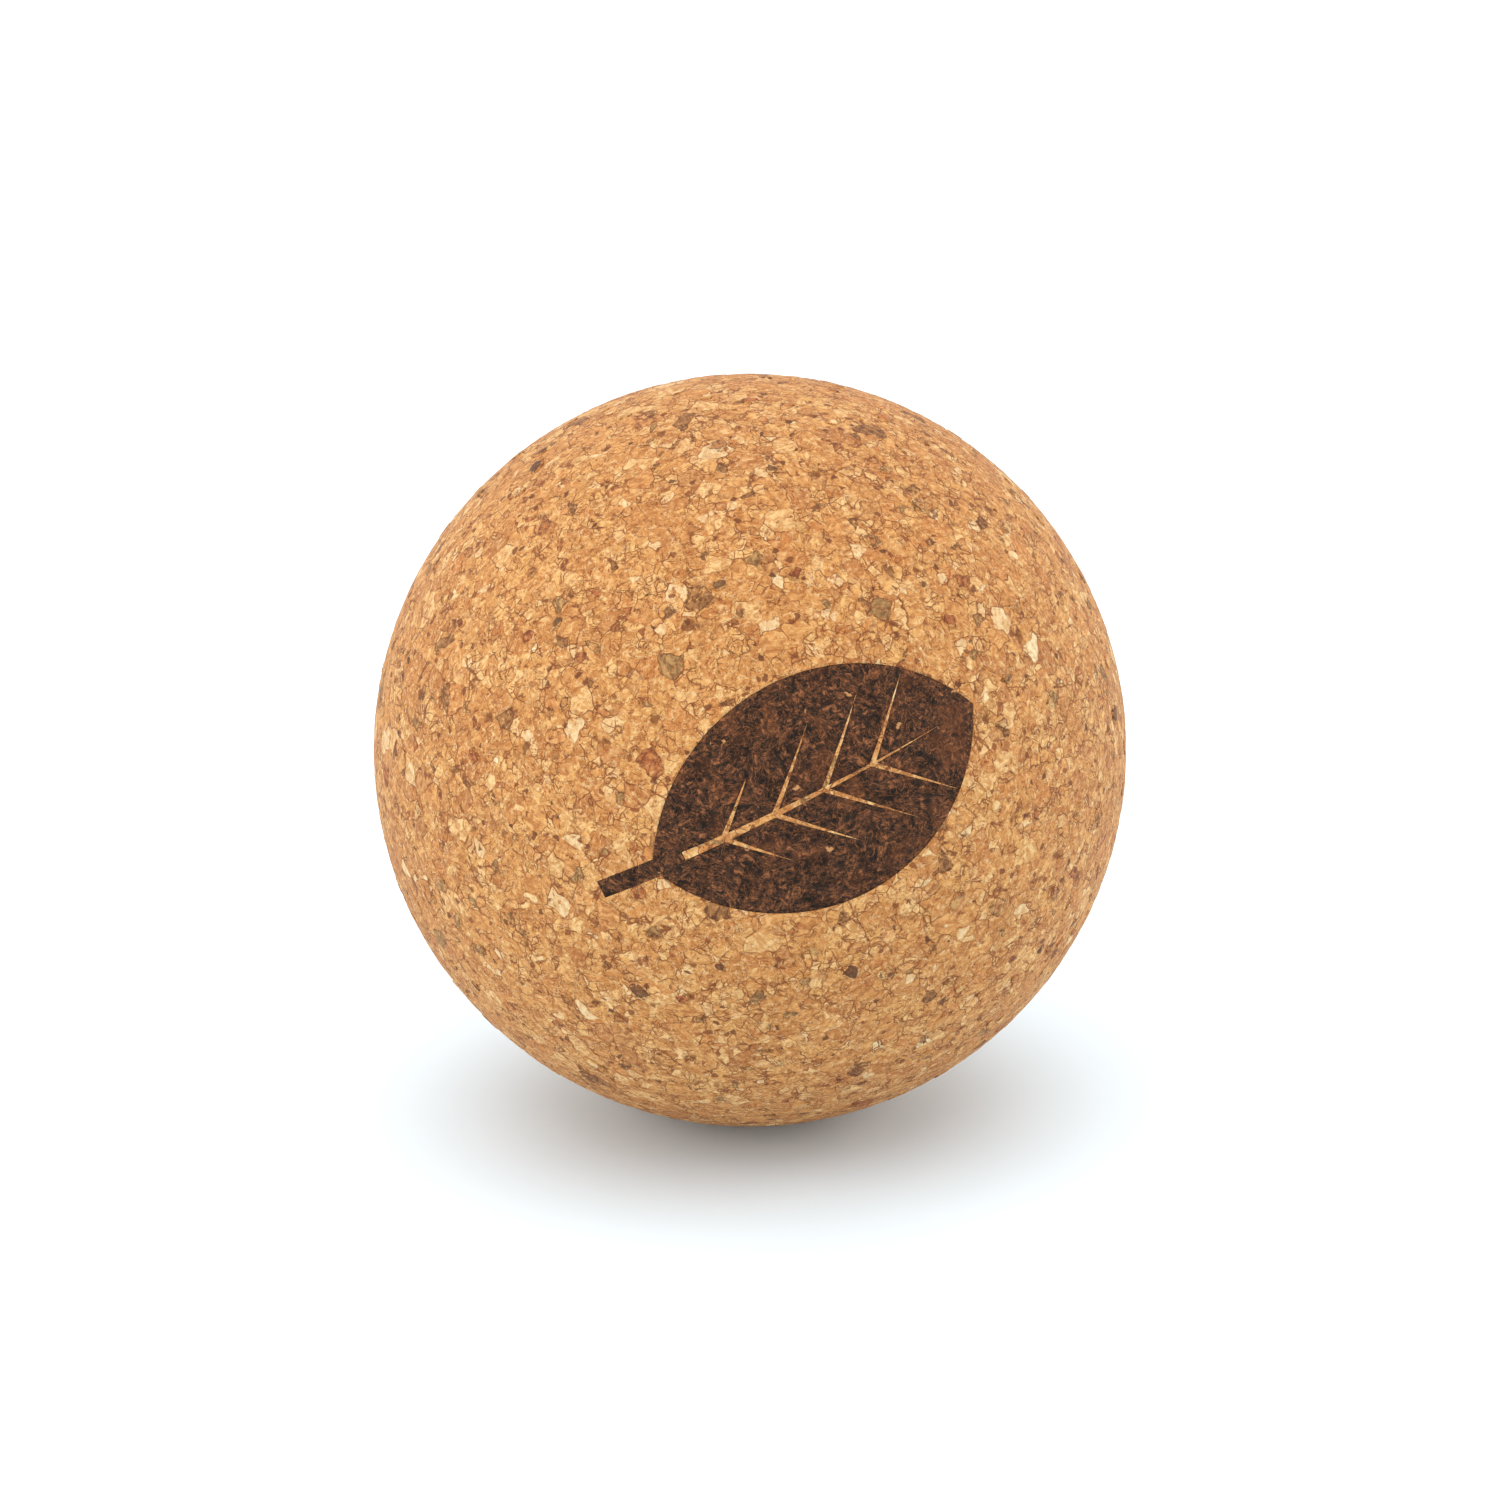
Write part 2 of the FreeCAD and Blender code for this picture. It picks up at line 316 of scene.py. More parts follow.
def nearness_to_coarse(tree):
    """1 under and beside a coarse granule, falling to 0 a third of a millimetre away."""
    joined = node(tree, "GeometryNodeJoinGeometry")
    for name in COARSE_NODES:
        info = node(tree, "GeometryNodeObjectInfo", {"Object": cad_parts[name]})
        tree.links.new(info.outputs["Geometry"], joined.inputs[0])
    near = node(tree, "GeometryNodeProximity", {0: joined.outputs[0]}, target_element="FACES")
    return span(tree, near.outputs["Distance"], SOCKET_FAR * MM, SOCKET_NEAR * MM)


def cork_relief():
    """Levels, seams, torn pits and dips, in mm."""
    tree, geometry, place = shape_group("cork_relief")
    chance, edge = granule_cells(tree, place)
    level = calc(tree, "SUBTRACT", split(tree, chance)[2], 0.5)
    level = calc(tree, "MULTIPLY", level, LEVEL_SPREAD)
    seam = calc(tree, "MULTIPLY", span(tree, edge, SEAM_WIDTH, 0.0), -SEAM_DEPTH)
    fibre = calc(tree, "SUBTRACT", noise(tree, place, 1.6, 2.0), 0.5)
    fibre = calc(tree, "MULTIPLY", fibre, FIBRE_HEIGHT)
    torn = calc(tree, "MULTIPLY", pits(tree, place), -PIT_DEPTH)
    dip = calc(tree, "MULTIPLY", nearness_to_coarse(tree), -SOCKET_DEPTH)
    height = calc(tree, "ADD", calc(tree, "ADD", level, seam), calc(tree, "ADD", fibre, torn))
    height = calc(tree, "ADD", calc(tree, "ADD", height, dip), CORK_LEVEL)
    return raise_by(tree, geometry, place, height)


apply_modifier(cork, "NODES", node_group=cork_relief())
report(cork)

# %% [markdown]
# ## The recess of the burnt emblem
# A hot stamp chars the cork and leaves it a little lower, with a crisp outline. The CAD node of the
# charred skin has exactly that outline, so a merged copy of it becomes the cutter: its outer face is
# pulled out through the surface along the stamp's own direction, and a boolean cuts with it.

# %% A cutter with the emblem's outline
MARK_RISE = math.radians(12)  # the emblem faces this far upwards
STAMP_WAY = Vector((0, -math.cos(MARK_RISE), math.sin(MARK_RISE)))
CUTTER_PROUD = 0.8 * MM


def emblem_cutter():
    """The charred skin's shape, made taller so that it stands out of the ball."""
    cutter = copy_of_node("burnt_mark", "emblem_cutter")
    radii = [vertex.co.length for vertex in cutter.data.vertices]
    middle = (min(radii) + max(radii)) / 2
    bpy.ops.object.mode_set(mode="EDIT")
    bpy.ops.mesh.select_all(action="DESELECT")
    bpy.ops.object.mode_set(mode="OBJECT")
    for vertex, radius in zip(cutter.data.vertices, radii):
        vertex.select = radius > middle
    bpy.ops.object.mode_set(mode="EDIT")
    bpy.ops.transform.translate(value=STAMP_WAY * CUTTER_PROUD)
    bpy.ops.object.mode_set(mode="OBJECT")
    return cutter


cutter = emblem_cutter()
report(cutter)

# %% Cut the recess, and keep what fills it
CHAR_LEVEL = 0.09 * MM  # how far the charred face lies below the ball's surface
char = round_blank("charred_emblem", BALL_RADIUS - CHAR_LEVEL)
apply_modifier(char, "BOOLEAN", operation="INTERSECT", solver="EXACT", object=cutter)
apply_modifier(cork, "BOOLEAN", operation="DIFFERENCE", solver="EXACT", object=cutter)
bpy.data.objects.remove(cutter)
report(char)
report(cork)

# %% [markdown]
# ## Corners left over by the cut
# A boolean leaves corners with only two edges along its cut. When such a face is split into triangles,
# both of its neighbours can get the same thin triangle, which makes a flap without thickness. Dissolving
# those corners takes the flaps away and leaves the outline as it is.

# %% Dissolve the corners that the cut has left over


def dissolve_needless_corners(piece):
    """Dissolves every vertex that has only two edges."""
    pick(piece)
    bpy.ops.object.mode_set(mode="EDIT")
    bpy.ops.mesh.select_mode(type="VERT")
    bpy.ops.mesh.select_all(action="DESELECT")
    bpy.ops.object.mode_set(mode="OBJECT")
    edge_count = [0] * len(piece.data.vertices)
    for edge in piece.data.edges:
        for corner in edge.vertices:
            edge_count[corner] += 1
    for vertex, count in zip(piece.data.vertices, edge_count):
        vertex.select = count == 2
    print(piece.name, "needless corners:", edge_count.count(2))
    bpy.ops.object.mode_set(mode="EDIT")
    bpy.ops.mesh.dissolve_verts()
    bpy.ops.object.mode_set(mode="OBJECT")


dissolve_needless_corners(cork)

# %% [markdown]
# ## Charred relief
# Fire shrinks the thin cell walls, so the charred face is rougher than the sanded one: many fine pores
# and ridges. The cut piece has the ball's coarse faces, so its outer face is subdivided first. That
# too leaves corners with only two edges, in faces that have more than four sides.

# %% A finer outer face
FACE_DEPTH = 0.2  # mm, the charred face lies less than this below the ball's surface
INSIDE_DEPTH = 0.3  # mm, no relief from here inwards


def subdivide_outside(piece, least_radius, cuts):
    """Subdivides the faces that lie outside a radius."""
    pick(piece)
    bpy.ops.object.mode_set(mode="EDIT")
    bpy.ops.mesh.select_all(action="DESELECT")
    bpy.ops.object.mode_set(mode="OBJECT")
    for face in piece.data.polygons:
        face.select = min(piece.data.vertices[v].co.length for v in face.vertices) > least_radius
    bpy.ops.object.mode_set(mode="EDIT")
    bpy.ops.mesh.select_mode(type="FACE")
    bpy.ops.mesh.subdivide(number_cuts=cuts)
    bpy.ops.mesh.select_mode(type="VERT")
    bpy.ops.object.mode_set(mode="OBJECT")


subdivide_outside(char, BALL_RADIUS - FACE_DEPTH * MM, 1)
dissolve_needless_corners(char)
report(char)

# %% Relief for the charred face
CHAR_ROUGHNESS = 0.16  # mm, from the deepest pore to the highest ridge


def char_relief():
    """Pores and ridges on the outer face only, in mm."""
    tree, geometry, place = shape_group("char_relief")
    rough = calc(tree, "SUBTRACT", noise(tree, place, 1.9, 4.0, 0.65), 0.5)
    length = node(tree, "ShaderNodeVectorMath", {0: place}, operation="LENGTH").outputs["Value"]
    outside = span(tree, length, BALL_RADIUS / MM - INSIDE_DEPTH, BALL_RADIUS / MM - FACE_DEPTH)
    height = calc(tree, "MULTIPLY", calc(tree, "MULTIPLY", rough, CHAR_ROUGHNESS), outside)
    return raise_by(tree, geometry, place, height)


apply_modifier(char, "NODES", node_group=char_relief())
report(char)

# %% [markdown]
# ## The coarse granules
# Each coarse granule of the CAD model is a plain block with flat sides. A real one was torn and ground,
# so its corners are rounded, its sides are uneven, and only its top is true, because it was sanded with
# the ball. So a merged copy is bevelled and roughened, and last a node group sands it: any vertex that
# stands out of the ball is brought back to its surface. Each granule also gets random numbers of its own.
# A vertex in the middle of each top carries the number 1, and all others 0. Between them the number runs
# evenly, so the finish can tell how far a point lies inside its granule's outline.

# %% Sanding, and random numbers for each granule
SANDED_RADIUS = BALL_RADIUS / MM - 0.004  # mm


def sanding_group(name, seed):
    """Brings proud vertices back to the ball, and gives each granule a random colour."""
    tree, geometry, place = shape_group(name)
    length = node(tree, "ShaderNodeVectorMath", {0: place}, operation="LENGTH").outputs["Value"]
    excess = calc(tree, "MINIMUM", calc(tree, "SUBTRACT", SANDED_RADIUS, length), 0.0)
    island = node(tree, "GeometryNodeInputMeshIsland").outputs["Island Index"]
    ends = {"ID": island, "Seed": seed}
    random_vector = node(tree, "FunctionNodeRandomValue", ends, data_type="FLOAT_VECTOR").outputs[0]
    stored = node(tree, "GeometryNodeStoreNamedAttribute", {"Geometry": geometry, "Name": "granule"},
                  data_type="FLOAT_VECTOR", domain="POINT")
    tree.links.new(random_vector, stored.inputs["Value"])
    return raise_by(tree, stored.outputs[0], place, excess)


# %% A middle for each top
TOP_DEPTH = 0.25 * MM  # a granule's top face lies less than this below the ball's surface


def mark_middles(piece):
    """Adds a middle vertex to each sanded top, and stores 1 there and 0 elsewhere as "inwards"."""
    pick(piece)
    bpy.ops.object.mode_set(mode="EDIT")
    bpy.ops.mesh.select_all(action="DESELECT")
    bpy.ops.object.mode_set(mode="OBJECT")
    tops = 0
    for face in piece.data.polygons:
        shallow = face.center.length > BALL_RADIUS - TOP_DEPTH
        face.select = shallow and face.normal.dot(face.center.normalized()) > 0.8 and len(face.vertices) > 4
        tops += face.select
    first_middle = len(piece.data.vertices)
    bpy.ops.object.mode_set(mode="EDIT")
    bpy.ops.mesh.poke()
    bpy.ops.object.mode_set(mode="OBJECT")
    inwards = piece.data.attributes.new("inwards", "FLOAT", "POINT")
    inwards.data.foreach_set("value", [float(v.index >= first_middle) for v in piece.data.vertices])
    print(piece.name, "tops:", tops)


# %% Coarse granules with torn sides and sanded tops
WORN_EDGE = 0.07 * MM
TORN_SIZE = 0.7 * MM
TORN_DEPTH = 0.16 * MM
SMOOTH_ANGLE = math.radians(50)


def torn_noise(name, size):
    """Cloudy noise for the Displace modifier."""
    texture = bpy.data.textures.new(name, "CLOUDS")
    texture.noise_scale = size
    return texture


def coarse_granules(node_name, piece_name, seed):
    """A merged copy of a granule node, bevelled, roughened and sanded."""
    piece = copy_of_node(node_name, piece_name)
    bpy.ops.object.mode_set(mode="EDIT")
    bpy.ops.mesh.select_all(action="SELECT")
    bpy.ops.mesh.dissolve_limited(angle_limit=math.radians(12))
    bpy.ops.mesh.select_all(action="SELECT")
    bpy.ops.mesh.bevel(offset=WORN_EDGE, segments=1, affect="EDGES")
    bpy.ops.object.mode_set(mode="OBJECT")
    texture = torn_noise(piece_name, TORN_SIZE)
    apply_modifier(piece, "DISPLACE", texture=texture, texture_coords="LOCAL", strength=TORN_DEPTH)
    mark_middles(piece)
    apply_modifier(piece, "NODES", node_group=sanding_group(piece_name + "_sanding", seed))
    pick(piece)
    bpy.ops.object.shade_smooth_by_angle(angle=SMOOTH_ANGLE)
    report(piece)
    return piece


bark = coarse_granules("bark_granules", "dark_bark_pieces", 1)
grey = coarse_granules("grey_granules", "grey_bark_pieces", 2)
red = coarse_granules("red_granules", "red_bark_pieces", 3)
pale = coarse_granules("pale_granules", "pale_cork_pieces", 4)

# %% [markdown]
# ## The finish of the cork
# Under a lens the tan is not one colour. Each granule has its own tone and its own grain direction, and
# the grain is curly, with thin brown wisps; small pale glints are painted on as highlights. A few granules
# are dark bark, grey weathered bark or red-brown with a darker rim. Dark lines run where some granules meet.

# %% Screen colours and cork's own colours
LIT_RED, LIT_GREEN, LIT_BLUE = 0.875, 0.825, 0.64  # cork's own colour, as a share of how it looks when lit


def tan(red, green, blue):
    """A screen colour of lit cork, brought down to the cork's own colour."""
    own = paint(red, green, blue)
    return (own[0] * LIT_RED, own[1] * LIT_GREEN, own[2] * LIT_BLUE, 1.0)


print("mid tan:", [round(value, 3) for value in tan(213, 156, 97)])

# %% Grain

def object_place(tree):
    """Each point's place on the piece, in mm."""
    place = node(tree, "ShaderNodeTexCoord").outputs["Object"]
    return node(tree, "ShaderNodeMapping", {"Vector": place, "Scale": (1 / MM,) * 3}).outputs[0]


def along_grain(tree, place, chance, stretch):
    """The place turned at random for each granule, then drawn out so that noise becomes fibres."""
    turns = scaled(tree, chance, 4 * math.pi)
    settings = {"Vector": place, "Rotation": turns}
    turned = node(tree, "ShaderNodeVectorRotate", settings, rotation_type="EULER_XYZ").outputs[0]
    curly = wandering(tree, turned, 1.1, 0.40)
    return vector_sum(tree, "MULTIPLY", curly, (1, 0.8, 1 / stretch))


def lay_over(tree, under, mask, strength, colour):
    """Paints a colour over another one where a mask is 1."""
    return blend(tree, calc(tree, "MULTIPLY", mask, strength), under, colour)


# %% The tan of ordinary granules


def cork_tan(tree, place, chance, grain):
    """The tan of ordinary granules, with their tone, mottle and grain."""
    kind, tone, _ = split(tree, chance)
    colour = ramp(tree, kind, [
        (0.00, tan(186, 124, 74)),
        (0.12, tan(200, 140, 84)),
        (0.40, tan(213, 156, 97)),
        (0.70, tan(221, 167, 106)),
        (0.90, tan(229, 180, 124)),
        (1.00, tan(236, 196, 150)),
    ])
    colour = lay_over(tree, colour, span(tree, tone, 0.80, 0.95), 0.45, tan(210, 138, 80))
    mottle = noise(tree, place, 1.7, 3.0, 0.62, 0.8)
    colour = lay_over(tree, colour, span(tree, mottle, 0.44, 0.64), 0.6, tan(184, 116, 58))
    colour = lay_over(tree, colour, span(tree, grain, 0.49, 0.27), 0.85, tan(146, 79, 28))
    colour = lay_over(tree, colour, span(tree, grain, 0.51, 0.70), 0.66, tan(240, 208, 164))
    return colour


# %% Wisps and specks
SPECK_CELL = 0.5  # mm
SPECK_SHARE = 0.026


def wisps(tree, place, chance):
    """1 along thin curly lines of two sizes, which come and go."""
    lines = None
    for scale, width, least in ((1.6, 0.026, 0.43), (3.0, 0.034, 0.47)):
        fibres = noise(tree, along_grain(tree, place, chance, 2.0), scale, 2.0, 0.55, 1.3)
        ridge = calc(tree, "ABSOLUTE", calc(tree, "SUBTRACT", fibres, 0.5))
        shown = span(tree, noise(tree, place, scale * 0.6, 2.0), least, least + 0.12)
        drawn = calc(tree, "MULTIPLY", span(tree, ridge, width, width / 4), shown)
        lines = drawn if lines is None else calc(tree, "MAXIMUM", lines, drawn)
    return lines


def specks(tree, place):
    """Small dark crumbs: a mask, and a random colour for each."""
    chance, edge = cells(tree, wandering(tree, place, 3.0, 0.12), SPECK_CELL, (36.5, 15.5, 28.5))
    chosen = calc(tree, "LESS_THAN", split(tree, chance)[0], SPECK_SHARE)
    return calc(tree, "MULTIPLY", chosen, span(tree, edge, 0.01, 0.06)), chance


# %% Fine granules of other kinds
# Each with its share of all granules, dark tone, light tone, rim colour,
# rim width in mm, and how strongly it covers the tan
OTHER_KINDS = [
    (0.010, tan(90, 52, 26), tan(156, 106, 64), tan(70, 32, 10), 0.15, 0.92),
    (0.010, tan(110, 78, 46), tan(176, 138, 92), tan(86, 52, 24), 0.15, 0.88),
    (0.010, tan(114, 48, 20), tan(184, 108, 60), tan(86, 32, 10), 0.14, 0.88),
    (0.034, tan(154, 96, 54), tan(210, 156, 104), tan(120, 66, 28), 0.10, 0.80),
    (0.090, tan(176, 112, 62), tan(224, 164, 104), tan(142, 80, 34), 0.07, 0.60),
    (0.080, tan(204, 150, 96), tan(238, 202, 156), tan(154, 102, 60), 0.06, 0.78),
    (0.026, tan(222, 182, 136), tan(238, 216, 188), tan(164, 106, 54), 0.06, 0.75),
    (0.0015, tan(226, 200, 162), tan(244, 232, 210), tan(140, 104, 76), 0.06, 0.85),
]


def other_kinds(tree, under, place, chance, edge, grain):
    """Paints the granules of other kinds over the tan ones."""
    colour = under
    tone = split(tree, chance)[1]
    uneven = calc(tree, "MULTIPLY", calc(tree, "SUBTRACT", noise(tree, place, 2.6), 0.5), 0.22)
    uneven_edge = calc(tree, "ADD", edge, uneven)
    inside = span(tree, uneven_edge, 0.0, 0.05)
    streaks = span(tree, grain, 0.42, 0.58)
    worn = span(tree, noise(tree, place, 2.2, 4.0, 0.7), 0.36, 0.48)
    low = 0.0
    for share, dark, light, rim_colour, rim_width, strength in OTHER_KINDS:
        chosen = calc(tree, "MULTIPLY", between(tree, tone, low, low + share), inside)
        chosen = calc(tree, "MULTIPLY", chosen, worn)
        body = blend(tree, streaks, dark, light)
        rim = span(tree, uneven_edge, rim_width, rim_width * 0.35)
        body = lay_over(tree, body, rim, 0.85, rim_colour)
        colour = lay_over(tree, colour, chosen, strength, body)
        low += share
    return colour


print("other kinds:", len(OTHER_KINDS), "share:", round(sum(kind[0] for kind in OTHER_KINDS), 3))

# %% A material and its bump
BUMP_STRENGTH = 0.6


def new_material(name):
    """A material with its node tree and its shader."""
    material = bpy.data.materials.new(name)
    material.use_nodes = True
    return material, material.node_tree, material.node_tree.nodes["Principled BSDF"]


def give_bump(tree, shader, height):
    """Bump from a height in mm."""
    bump = node(tree, "ShaderNodeBump", {"Height": height, "Distance": MM, "Strength": BUMP_STRENGTH})
    tree.links.new(bump.outputs[0], shader.inputs["Normal"])


# %% Sanded cork


def sanded_cork(tree, place):
    """Colour of sanded cork, its height in mm, and its grain."""
    chance, edge = granule_cells(tree, place)
    grain = noise(tree, along_grain(tree, place, chance, 2.8), 2.6, 4.0, 0.70, 0.5)
    colour = cork_tan(tree, place, chance, grain)
    wisp = wisps(tree, place, chance)
    colour = lay_over(tree, colour, wisp, 0.88, tan(126, 58, 12))
    # Painted highlight: small pale flecks where a noise peaks, painted into the colour to stand in for
    # glints of light.
    painted_glint = span(tree, noise(tree, vector_sum(tree, "ADD", place, (31, 17, 5)), 2.6, 2.0, 0.6), 0.60, 0.68)
    colour = lay_over(tree, colour, painted_glint, 0.36, tan(246, 224, 190))
    colour = other_kinds(tree, colour, place, chance, edge, grain)
    shown = span(tree, noise(tree, place, 0.8, 2.0), 0.44, 0.56)
    seam = calc(tree, "MULTIPLY", span(tree, edge, 0.06, 0.015), shown)
    colour = lay_over(tree, colour, seam, 0.85, tan(116, 54, 10))
    speck, speck_chance = specks(tree, place)
    speck_colour = blend(tree, split(tree, speck_chance)[1], tan(84, 42, 16), tan(138, 72, 30))
    colour = lay_over(tree, colour, speck, 0.85, speck_colour)
    # Painted shade: the few torn pits are painted dark brown as shade inside them, besides being sunk in the
    # mesh and the bump.
    torn = pits(tree, place)
    colour = lay_over(tree, colour, torn, 0.65, tan(104, 48, 10))
    height = calc(tree, "MULTIPLY", grain, 0.11)
    for mask, depth in ((seam, 0.03), (wisp, 0.03), (speck, 0.03), (torn, 0.05)):
        height = calc(tree, "SUBTRACT", height, calc(tree, "MULTIPLY", mask, depth))
    return colour, height, grain


# %% Give the cork its finish
CORK_SHINE = 0.35


def close_cork(tree, shader, colour, height, grain):
    """Links a colour, a height and the matt shine of cork to the shader."""
    tree.links.new(colour, shader.inputs["Base Color"])
    roughness = calc(tree, "ADD", calc(tree, "MULTIPLY", span(tree, grain, 0.2, 0.8), 0.18), 0.66)
    tree.links.new(roughness, shader.inputs["Roughness"])
    shader.inputs["Specular IOR Level"].default_value = CORK_SHINE
    give_bump(tree, shader, height)


def cork_finish():
    """Sanded pressed cork."""
    material, tree, shader = new_material("sanded_cork")
    close_cork(tree, shader, *sanded_cork(tree, object_place(tree)))
    return material


cork.data.materials.clear()
cork.data.materials.append(cork_finish())
print("cork nodes:", len(cork.data.materials[0].node_tree.nodes))

# %% [markdown]
# ## The finish of the charred emblem
# Charred cork is not black. It is a very dark brown, mottled, with red-brown fibres where the fire only
# browned it, and a rare pale crumb that did not take the heat.

# %% Colour of the char
CHAR_SHINE = 0.12
CRUMB_CELL = 0.5  # mm
CRUMB_SHARE = 0.006


def char_finish():
    """Burnt cork."""
    material, tree, shader = new_material("charred_cork")
    place = object_place(tree)
    chance, edge = granule_cells(tree, place)
    grain = noise(tree, along_grain(tree, place, chance, 3.2), 3.0, 4.0, 0.74, 0.5)
    colour = ramp(tree, grain, [
        (0.38, tan(30, 24, 23)),
        (0.47, tan(53, 39, 34)),
        (0.55, tan(89, 57, 45)),
        (0.66, tan(160, 104, 74)),
    ])
    clot = span(tree, noise(tree, place, 0.75, 4.0, 0.62), 0.48, 0.60)
    colour = lay_over(tree, colour, clot, 0.72, tan(24, 18, 17))
    browned = span(tree, noise(tree, vector_sum(tree, "ADD", place, (9, 2, 30)), 0.35, 3.0), 0.54, 0.66)
    colour = lay_over(tree, colour, browned, 0.22, tan(134, 78, 50))
    wisp = wisps(tree, place, chance)
    colour = lay_over(tree, colour, wisp, 0.50, tan(158, 100, 66))
    crumbs, crumb_edge = cells(tree, wandering(tree, place, 2.6, 0.30), CRUMB_CELL, (5.0, 44.0, 2.0))
    crumb = calc(tree, "LESS_THAN", split(tree, crumbs)[0], CRUMB_SHARE)
    crumb = calc(tree, "MULTIPLY", crumb, span(tree, crumb_edge, 0.03, 0.12))
    colour = lay_over(tree, colour, crumb, 0.75, tan(216, 160, 116))
    tree.links.new(colour, shader.inputs["Base Color"])
    roughness = calc(tree, "ADD", calc(tree, "MULTIPLY", grain, 0.25), 0.62)
    tree.links.new(roughness, shader.inputs["Roughness"])
    shader.inputs["Specular IOR Level"].default_value = CHAR_SHINE
    give_bump(tree, shader, calc(tree, "MULTIPLY", grain, 0.16))
    return material


char.data.materials.clear()
char.data.materials.append(char_finish())
print("char nodes:", len(char.data.materials[0].node_tree.nodes))

# %% [markdown]
# ## The finish of the coarse granules
# All four kinds share one recipe with different colours. On the real ball these granules have no clean
# outline: ordinary cork laps over their edges, a dark rim shows in places, and some are only a rim with
# tan cork inside. So the cork's own pattern is laid first, and the granule's colour is painted on it
# inside a ragged line. The pattern reads the same coordinates on both pieces, so it runs on unbroken.

# %% Colour of the coarse granules
HOLLOW_SHARE = 0.40  # granules that are only a dark rim


def granule_finish(name, dark, middle, light, rim_colour, can_be_hollow):
    """Bark or pale cork with a ragged edge, laid into sanded cork."""
    material, tree, shader = new_material(name)
    place = object_place(tree)
    under, height, cork_grain = sanded_cork(tree, place)
    chance = node(tree, "ShaderNodeAttribute", attribute_name="granule").outputs["Vector"]
    inwards = node(tree, "ShaderNodeAttribute", attribute_name="inwards").outputs["Fac"]
    tone, hollow, _ = split(tree, chance)
    uneven = calc(tree, "SUBTRACT", noise(tree, place, 1.5, 4.0, 0.66), 0.5)
    depth = calc(tree, "ADD", inwards, calc(tree, "MULTIPLY", uneven, 1.9))
    inside = span(tree, depth, 0.14, 0.22)
    grain = noise(tree, along_grain(tree, place, chance, 2.6), 2.6, 4.0, 0.76, 0.4)
    level = calc(tree, "ADD", grain, calc(tree, "MULTIPLY", calc(tree, "SUBTRACT", tone, 0.5), 0.28))
    colour = ramp(tree, level, [(0.39, dark), (0.50, middle), (0.62, light)])
    if can_be_hollow:
        chosen = calc(tree, "LESS_THAN", hollow, HOLLOW_SHARE)
        opening = calc(tree, "MULTIPLY", chosen, span(tree, depth, 0.30, 0.44))
        colour = blend(tree, calc(tree, "MULTIPLY", opening, 0.85), colour, under)
    broken = span(tree, noise(tree, place, 1.3, 2.0), 0.44, 0.56)
    rim = calc(tree, "MULTIPLY", span(tree, depth, 0.42, 0.26), broken)
    colour = lay_over(tree, colour, rim, 0.88, rim_colour)
    colour = lay_over(tree, under, inside, 0.92, colour)
    close_cork(tree, shader, colour, height, cork_grain)
    return material


# %% Four kinds of coarse granule
# Each with its dark, middle and light tone, its rim colour, and whether some of its granules are hollow
GRANULE_COLOURS = [
    (bark, "dark_bark", tan(84, 46, 24), tan(122, 74, 40), tan(182, 122, 72), tan(70, 32, 12), True),
    (grey, "grey_bark", tan(102, 70, 44), tan(148, 108, 70), tan(200, 156, 106), tan(84, 48, 22), True),
    (red, "red_bark", tan(102, 40, 16), tan(142, 72, 38), tan(198, 122, 70), tan(86, 32, 12), True),
    (pale, "pale_cork", tan(192, 138, 88), tan(224, 180, 128), tan(236, 206, 166), tan(166, 104, 52), False),
]
for piece, name, *settings in GRANULE_COLOURS:
    piece.data.materials.clear()
    piece.data.materials.append(granule_finish(name, *settings))
    print(name, "nodes:", len(piece.data.materials[0].node_tree.nodes))

# %% [markdown]
# ## What each piece stands for
# Every piece rides on the one body of this part and replaces the CAD node that it was made from.

# %% Tie the pieces to the frame
PIECES = [
    (cork, "cork_ball", "cork"),
    (char, "burnt_mark", "charred_cork"),
    (bark, "bark_granules", "dark_bark"),
    (grey, "grey_granules", "grey_bark"),
    (red, "red_granules", "red_bark"),
    (pale, "pale_granules", "pale_cork"),
]
for piece, node_name, slot_name in PIECES:
    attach(piece, "root")
    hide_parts(node_name)
    print(piece.name, "stands for", node_name)

# %% [markdown]
# ## Floor, light and camera
# The ball lies on a plain white floor in soft light. A dim white world fills it in, a very broad sun
# overhead keeps the shadow close under the ball, two more suns light its left and right sides, and a
# weak one behind lights its back and its rim.
# The floor is a touch cool, because the ball throws its own warm light on it.

# %% Floor
FLOOR_COLOUR = (0.81, 0.92, 0.99, 1)

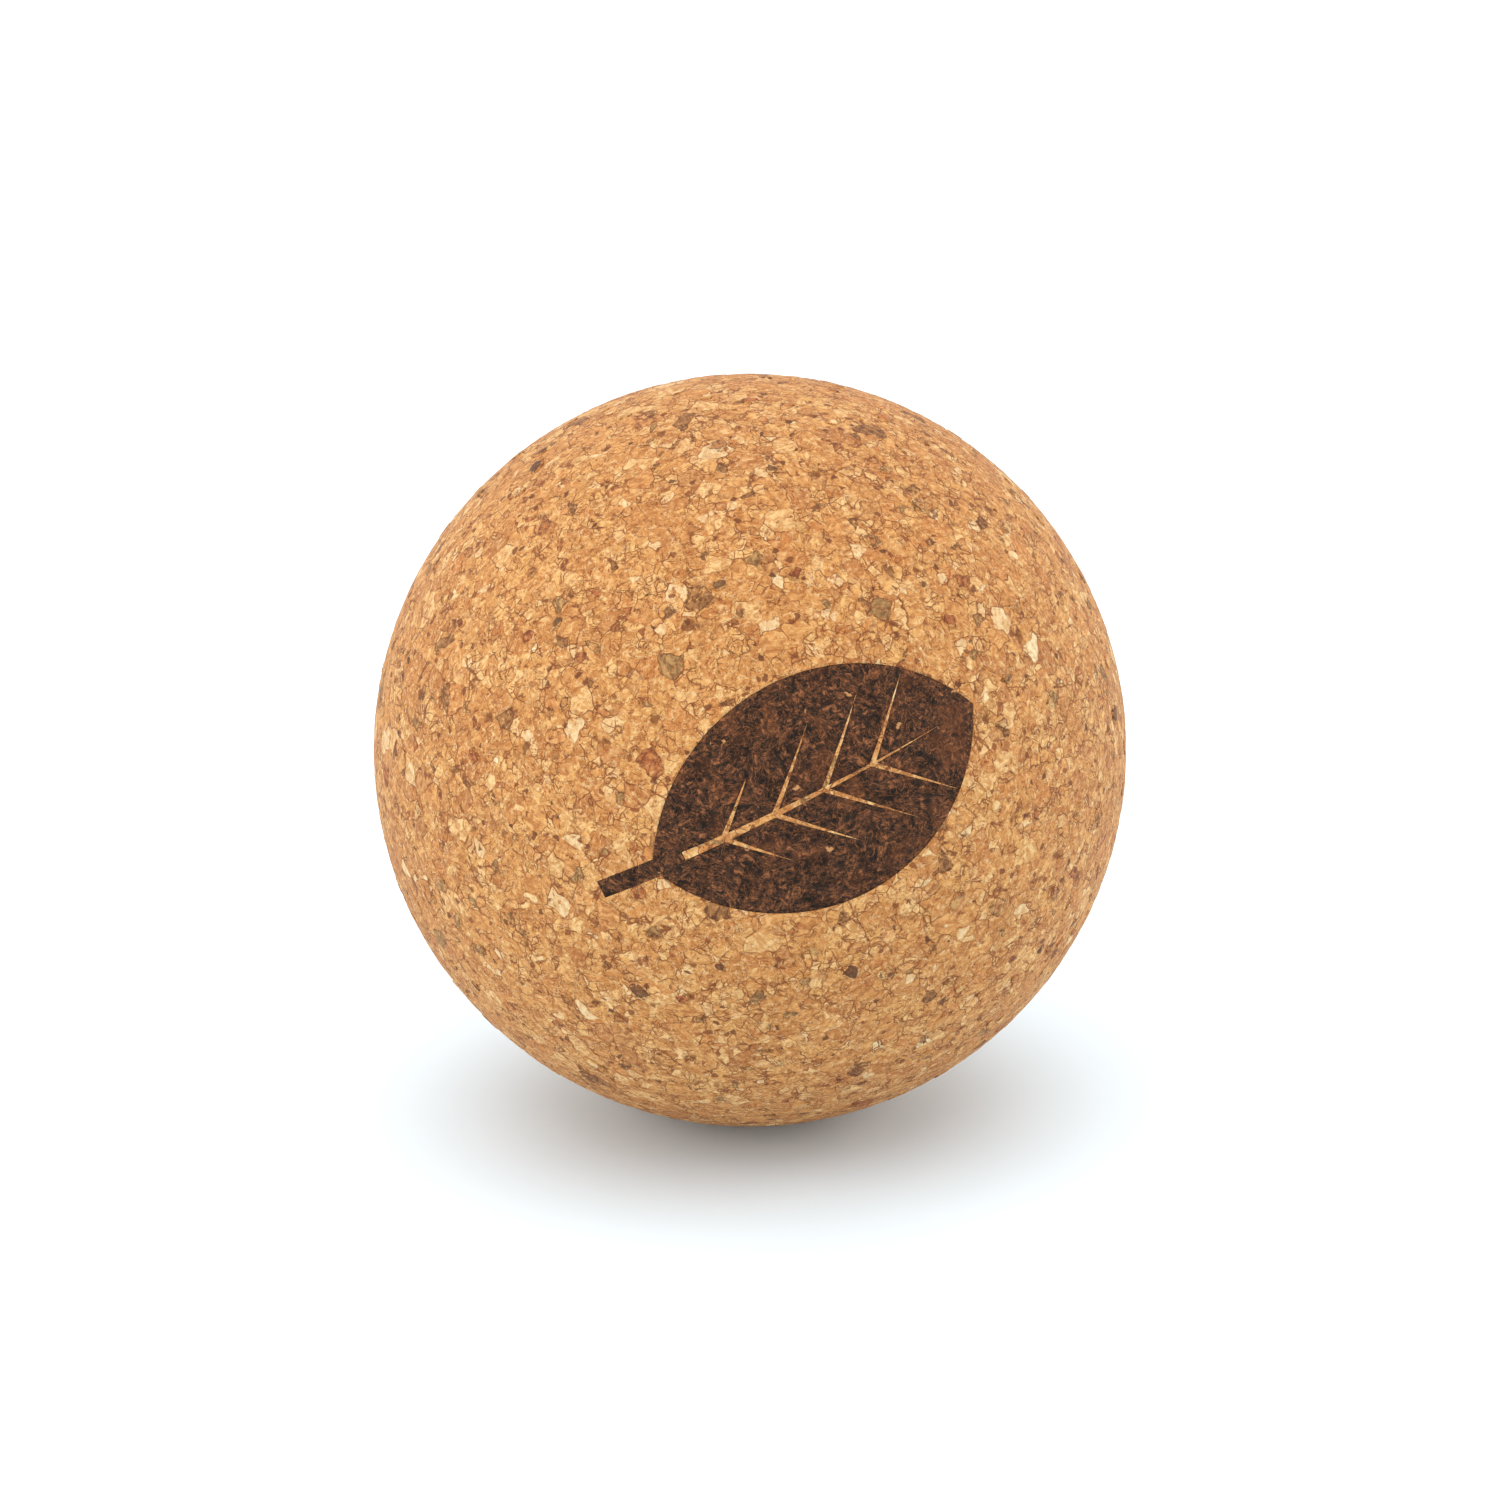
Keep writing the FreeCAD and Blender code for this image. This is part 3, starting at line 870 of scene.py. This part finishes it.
bpy.ops.object.select_all(action="DESELECT")
bpy.ops.mesh.primitive_plane_add(size=12, location=(0, 0, cad_low[2]))
floor = bpy.context.object
floor.name = "floor"
material, tree, shader = new_material("floor_white")
shader.inputs["Base Color"].default_value = FLOOR_COLOUR
shader.inputs["Roughness"].default_value = 0.7
shader.inputs["Specular IOR Level"].default_value = 0.2
floor.data.materials.append(material)
print("floor height, mm:", round(cad_low[2] / MM, 2))

# %% Fill light
FILL_STRENGTH = 0.78

scene = bpy.context.scene
scene.view_settings.view_transform = "Standard"
world = bpy.data.worlds.new("white_tent")
world.use_nodes = True
world.node_tree.nodes["Background"].inputs["Color"].default_value = (0.98, 0.99, 1.0, 1)
world.node_tree.nodes["Background"].inputs["Strength"].default_value = FILL_STRENGTH
scene.world = world
print("fill light:", FILL_STRENGTH)

# %% Broad suns

def broad_sun(name, azimuth, height, strength, width):
    """A sun at an azimuth and height in degrees, wide enough to cast only soft shadows."""
    data = bpy.data.lights.new(name, "SUN")
    data.energy = strength
    data.angle = math.radians(width)
    sun = bpy.data.objects.new(name, data)
    scene.collection.objects.link(sun)
    turn, lift = math.radians(azimuth), math.radians(height)
    towards = Vector((math.sin(turn) * math.cos(lift), -math.cos(turn) * math.cos(lift), math.sin(lift)))
    sun.rotation_euler = towards.to_track_quat("Z", "Y").to_euler()
    print(name, "strength:", strength, "width:", width)


broad_sun("top_light", -20, 78, 1.3, 70)
broad_sun("left_light", -72, 8, 2.1, 70)
broad_sun("right_light", 85, 6, 1.95, 70)
broad_sun("back_light", 180, 30, 0.9, 90)

# %% Camera
VIEW_AZIMUTH = math.radians(-10.3)
VIEW_HEIGHT = math.radians(18)
VIEW_DISTANCE = BALL_RADIUS * 11.11
LENS = 100.1  # mm
SENSOR = 36  # mm

level = math.cos(VIEW_HEIGHT)
towards = Vector((math.sin(VIEW_AZIMUTH) * level, -math.cos(VIEW_AZIMUTH) * level, math.sin(VIEW_HEIGHT)))
camera_data = bpy.data.cameras.new("camera")
camera_data.sensor_width = SENSOR
camera_data.lens = LENS
camera_data.clip_start = 0.01
camera = bpy.data.objects.new("camera", camera_data)
scene.collection.objects.link(camera)
camera.location = towards * VIEW_DISTANCE
camera.rotation_euler = towards.to_track_quat("Z", "Y").to_euler()
scene.camera = camera
print("camera distance, mm:", round(VIEW_DISTANCE / MM, 1))

# %% Finish
bpy.context.view_layer.update()
